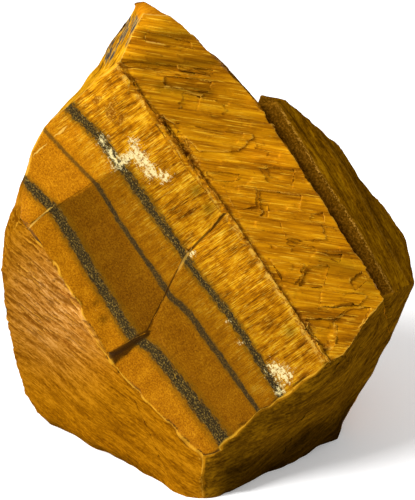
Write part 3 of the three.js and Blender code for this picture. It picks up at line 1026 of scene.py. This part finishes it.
def left_material():
    paint = Paint("left_break", 0.65, 0.0)
    tone = paint.streaks(
        LEFT_GRAIN,
        (0.35, (3.0, 0.28, 0.6), 3, 0.65),
        (0.30, (8.0, 1.4, 2.0), 3, 0.55),
        (0.35, (0.7, 0.28, 0.4)),
    )
    paint.colour = paint.ramp(tone, (0.40, 112, 64, 2), (0.50, 160, 100, 4), (0.60, 194, 128, 14))
    pink = paint.ramp(tone, (0.40, 142, 80, 22), (0.50, 190, 128, 47), (0.60, 226, 168, 96))
    paint.lay("pink", pink)
    paint.lay("pits", (112, 62, 3), 0.75)
    flecks = paint.noise(LEFT_GRAIN, (1.3, 0.30, 0.5), 2, 0.6)
    paint.lay(paint.fade(flecks, 0.60, 0.72), (112, 60, 3), 0.5)
    # Painted highlights, and painted shade at the foot.
    paint.brighten("left_shade_and_highlight")
    # Painted highlights on ridges and chipped edges, and painted shade in creases.
    paint_edge_light_and_shade(paint, (242, 176, 48), (92, 54, 5), 0.7, 0.6)
    return paint.finish(tone)


# The three display colours of the darker breaks.
UNDER_COLOURS = ((72, 45, 3), (112, 74, 6), (150, 104, 10))
SLAB_COLOURS = ((78, 48, 1), (124, 80, 2), (162, 114, 6))


def colour_dark(paint, axes, colours):
    """Streaks of three colours along a grain. Gives the noise that they follow."""
    tone = paint.streaks(
        axes,
        (0.35, (2.6, 0.34, 0.6), 3, 0.6),
        (0.35, (7.0, 1.8, 2.5), 3, 0.55),
        (0.30, (0.6, 0.40, 0.5)),
    )
    low, middle, high = colours
    paint.colour = paint.ramp(tone, (0.40, *low), (0.50, *middle), (0.60, *high))
    return tone


def under_material():
    paint = Paint("under_break", 0.60, 0.1)
    tone = colour_dark(paint, UNDER_GRAIN, UNDER_COLOURS)
    # Painted highlights on ridges and chipped edges, and painted shade in creases.
    paint_edge_light_and_shade(paint, (200, 134, 18), (36, 22, 3), 0.5, 0.5)
    # Painted shade towards the floor and painted light by the corner.
    paint.brighten("under_shade_and_corner_light")
    return paint.finish(tone)


def slab_material():
    paint = Paint("slab_break", 0.60, 0.1)
    tone = colour_dark(paint, SLAB_GRAIN, SLAB_COLOURS)
    grains = paint.noise(SLAB_GRAIN, (0.35, 0.28, 0.35))
    granular = paint.ramp(grains, (0.38, 80, 50, 2), (0.52, 108, 68, 5), (0.68, 146, 98, 24))
    inside = paint.fade(paint.times("crest", -1), -0.15, 0.15)
    paint.lay(inside, granular)
    # Painted highlights on ridges and chipped edges, and painted shade in creases.
    paint_edge_light_and_shade(paint, (176, 120, 26), (40, 24, 2), 0.5, 0.6)
    outer = paint.fade("slab_step", -0.1, 0.3)
    paint.brighten(paint.times(outer, -0.18, 1.08))
    # A painted highlight in dots along the crest.
    crest_highlight = paint.times(paint.line("crest", 0.34), paint.fade(grains, 0.47, 0.62))
    paint.lay(crest_highlight, (206, 150, 56), 0.85)
    # A painted highlight along the step.
    step = paint.times(paint.line("slab_step", 0.22), paint.fade(grains, 0.40, 0.60))
    paint.lay(step, (176, 128, 40), 0.45)
    return paint.finish(tone)


def base_material():
    paint = Paint("base_break", 0.60, 0.05)
    return paint.finish(colour_dark(paint, BANDED_FIBRES, SLAB_COLOURS))


def colour_back(paint, tone):
    """The layered brown of the hidden back."""
    paint.colour = paint.ramp(tone, (0.34, 120, 72, 5), (0.50, 168, 104, 8), (0.66, 206, 138, 22))
    lay_bands(paint, 0.85)


def peak_material():
    paint = Paint("peak_break", 0.60, 0.05)
    thread = paint.noise(PEAK_GRAIN, (1.8, 0.30, 0.6), 3, 0.65)
    strand = paint.noise(PEAK_GRAIN, (4.5, 0.9, 2.0), 3, 0.6)
    tone = paint.total((thread, 0.5), (strand, 0.5))
    paint.colour = paint.ramp(
        tone, (0.36, 104, 70, 12), (0.45, 172, 114, 10), (0.54, 218, 156, 18), (0.66, 244, 194, 70),
    )
    slate = paint.ramp(thread, (0.40, 58, 54, 56), (0.50, 92, 80, 62), (0.60, 176, 136, 60))
    patch = paint.total(("slate", 1), (strand, 4), offset=-2.5)
    paint.lay(paint.fade(patch, 0.05, 0.45), slate)
    plain = paint.ramp(tone, (0.40, 160, 94, 6), (0.60, 206, 132, 14))
    paint.lay("top", plain)
    # Streaks, and a painted highlight beside the upper left edge.
    paint.brighten("fibrous_tone_and_highlight")
    # Painted highlights on ridges and chipped edges, and painted shade in creases.
    paint_edge_light_and_shade(paint, (246, 196, 96), (80, 50, 12), 0.7, 0.6)
    front = paint.colour
    colour_back(paint, tone)
    paint.colour = paint.mix("behind", front, paint.colour)
    return paint.finish(tone)


def back_material():
    paint = Paint("back_break", 0.60, 0.05)
    tone = paint.streaks(
        BANDED_FIBRES, (0.5, (4.0, 0.5, 0.8), 3, 0.6), (0.5, (9.0, 2.0, 3.0), 2, 0.5),
    )
    colour_back(paint, tone)
    # Painted highlights on ridges and chipped edges, and painted shade in creases.
    paint_edge_light_and_shade(paint, (216, 154, 50), (84, 50, 8), 0.4, 0.5)
    return paint.finish(tone, 0.2)


# In the order of REGIONS.
MATERIALS = (
    banded_material, fibrous_material, left_material, under_material,
    slab_material, peak_material, back_material, base_material,
)


def attributes_of(points, facets, region):
    """What the materials need to know of each point, by name."""
    across, up, out = points.T
    in_front = fade(out, 2, 4)
    by_ridge = 0.6 * near_line(points, LINES["ridge"], 1.6)
    crumbled = np.maximum(near_places(points, CRUMBLED), by_ridge)
    slate = sum(near_line(points, line, 1.5) for line in PEAK_SLATE)
    values = {
        "band_2_share": 0.55 + 0.45 * fade(across, -20.5, -17.0),
        "layer": layer_number(points),
        "cream": in_front * near_places(points, CREAM),
        "crumbled": in_front * crumbled,
        # The painted sheen and painted shade of the banded face.
        "silk_sheen": silk_sheen(points, facets),
        # Streaks of the fibrous face and a painted highlight.
        "fibrous_tone_and_highlight": fibrous_tone_and_highlight(points),
        # Painted shade and corner light under the front.
        "under_shade_and_corner_light": under_shade_and_corner_light(points),
        # Painted highlights and painted shade on the left break.
        "left_shade_and_highlight": left_shade_and_highlight(points),
        "slate": slate * fade(out, -3.0, -0.5),
        "top": fade(across + 0.4 * up, 20.9, 21.5),
        "behind": 1 - fade(out, -6.5, -3),
        "pits": pits(points),
        # The chipped and blunt edges, which get a painted highlight.
        "chipped": on_edges(points, facets, region, CHIPPED + BLUNT, passes=3),
        # How sharply the surface turns, for painted highlights and painted shade.
        "sharpness": edge_sharpness(points, facets),
        "pink": near_places(points, PINK) * left_front(points),
    }
    for number, band in enumerate(BANDS, 1):
        away, half = from_band(points, band)
        values[f"band_{number}"] = away / half
    for name, line in LINES.items():
        values[name] = side_of(points, line)
        values[name + "_near"] = near_line(points, line, 2.0)
    return values


# ---- the piece ----

DIVISIONS = (4, 2, 1)  # how much longer than their limit the edges may be, step by step
KEPT = 190_000  # the fine surface is thinned out where it is plain, to this many triangles


def stone_surface():
    """The finished surface: points in front millimetres, facets, and each facet's region."""
    points, facets = stone_facets()
    region = regions(points, facets)
    for scale in DIVISIONS:
        points, facets, region = divide(points, facets, region, scale)
        points = smooth(points, facets, region)
    points = wear_foot(fray(points, facets, region))
    return add_relief(points, facets, region), facets, region


def build_piece():
    """The stone's surface as one mesh, with a material on each region."""
    points, facets, region = stone_surface()
    mesh = bpy.data.meshes.new("stone_surface")
    mesh.from_pydata(from_front(points).tolist(), [], facets.tolist())
    mesh.polygons.foreach_set("material_index", region.astype(np.int32))
    mesh.polygons.foreach_set("use_smooth", np.ones(len(facets), bool))
    for name, values in attributes_of(points, facets, region).items():
        attribute = mesh.attributes.new(name, "FLOAT", "POINT")
        attribute.data.foreach_set("value", values.astype(np.float32))
    for material in MATERIALS:
        mesh.materials.append(material())
    piece = bpy.data.objects.new("stone_surface", mesh)
    bpy.context.scene.collection.objects.link(piece)
    piece.modifiers.new("thinned", "DECIMATE").ratio = min(1, KEPT / len(facets))
    return piece


piece = build_piece()
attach(piece, "root")
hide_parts("stone")


# ---- floor, light and camera ----

LIT_PLACE = Vector((0, 0, 0.035))  # in metres: the middle of the stone, which the light faces
CAMERA = (0.425, 41.99, 472.3)  # in front coordinates, looking straight at the front


def add_floor():
    """A pale floor that glows a little, as a lit sweep of paper does."""
    bpy.ops.mesh.primitive_plane_add(size=4)
    floor = bpy.context.object
    floor.name = "floor"
    paint = Paint("floor", roughness=0.9, silk_sheen=0.0, gloss=0.5)
    paint.feed(paint.shader, {
        "Base Color": (0.95, 0.95, 0.95, 1),
        "Specular Tint": (1, 1, 1, 1),
        "Emission Color": (1, 1, 1, 1),
        "Emission Strength": 0.22,
    })
    floor.data.materials.append(paint.material)


def add_light(name, towards, distance, size, power):
    """A square light that shines on the stone from a direction in front coordinates. Its
    distance and size are in metres."""
    direction = Vector(FRONT_AXES @ np.array(towards)).normalized()
    light = bpy.data.lights.new(name, "AREA")
    light.size = size
    light.energy = power
    lamp = bpy.data.objects.new(name, light)
    lamp.location = LIT_PLACE + direction * distance
    lamp.rotation_euler = direction.to_track_quat("Z", "Y").to_euler()
    bpy.context.scene.collection.objects.link(lamp)


def add_world(strength):
    world = bpy.data.worlds.new("studio")
    world.use_nodes = True
    background = world.node_tree.nodes["Background"]
    background.inputs["Color"].default_value = (1, 1, 1, 1)
    background.inputs["Strength"].default_value = strength
    bpy.context.scene.world = world


def add_camera(lens):
    data = bpy.data.cameras.new("camera")
    data.lens = lens
    data.sensor_width = 36
    data.clip_end = 10
    camera = bpy.data.objects.new("camera", data)
    turn = Matrix(FRONT_AXES.tolist()).to_4x4()
    camera.matrix_world = Matrix.Translation(from_front(np.array(CAMERA))) @ turn
    bpy.context.scene.collection.objects.link(camera)
    bpy.context.scene.camera = camera


add_floor()
add_light("key", towards=(-0.6, 0.5, 0.62), distance=1.3, size=0.6, power=22)
add_world(strength=0.57)
add_camera(lens=200)
bpy.context.scene.view_settings.view_transform = "Standard"
